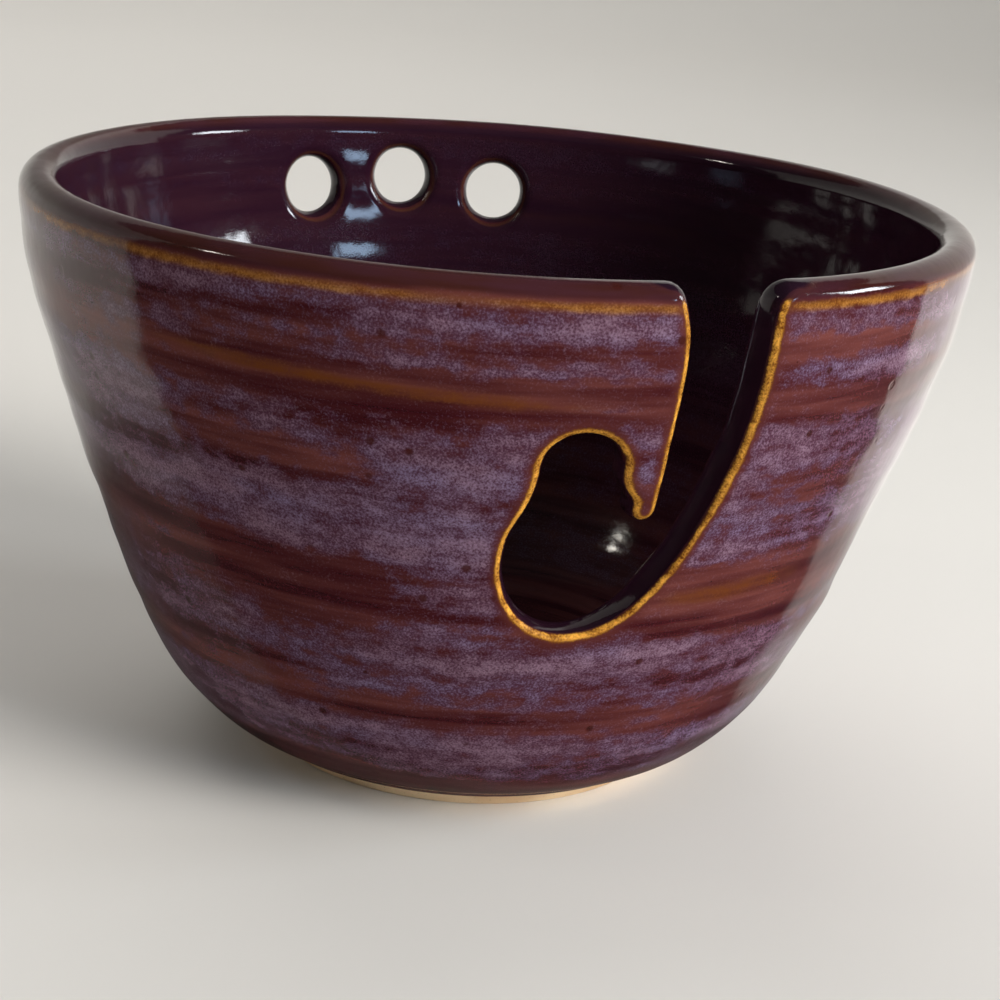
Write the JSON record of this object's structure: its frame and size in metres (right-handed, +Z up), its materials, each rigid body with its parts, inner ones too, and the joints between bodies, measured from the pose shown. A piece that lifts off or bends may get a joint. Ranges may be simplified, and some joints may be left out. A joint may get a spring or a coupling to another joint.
{
  "type": "yarn bowl",
  "caption": "Round glazed stoneware yarn bowl with a J-shaped yarn slot cut down through its rim and round needle holes in the opposite wall.",
  "frame": {"origin": "centre of the flat underside, on the bowl's axis of revolution", "axes": "+Z up along the bowl's axis, -Y towards the yarn slot, +Y through the middle needle hole, +X to the right seen from the slot's side"},
  "size_m": [0.16, 0.16, 0.099],
  "materials": {
    "bare_clay": "unglazed buff stoneware, fine grain, matt",
    "purple_glaze": "glossy deep purple glaze, mottled blue-violet over red-brown, breaking amber on edges"
  },
  "bodies": {
    "root": {"stoneware_body": "bare_clay", "glaze_coat": "purple_glaze"}
  },
  "joints": []
}
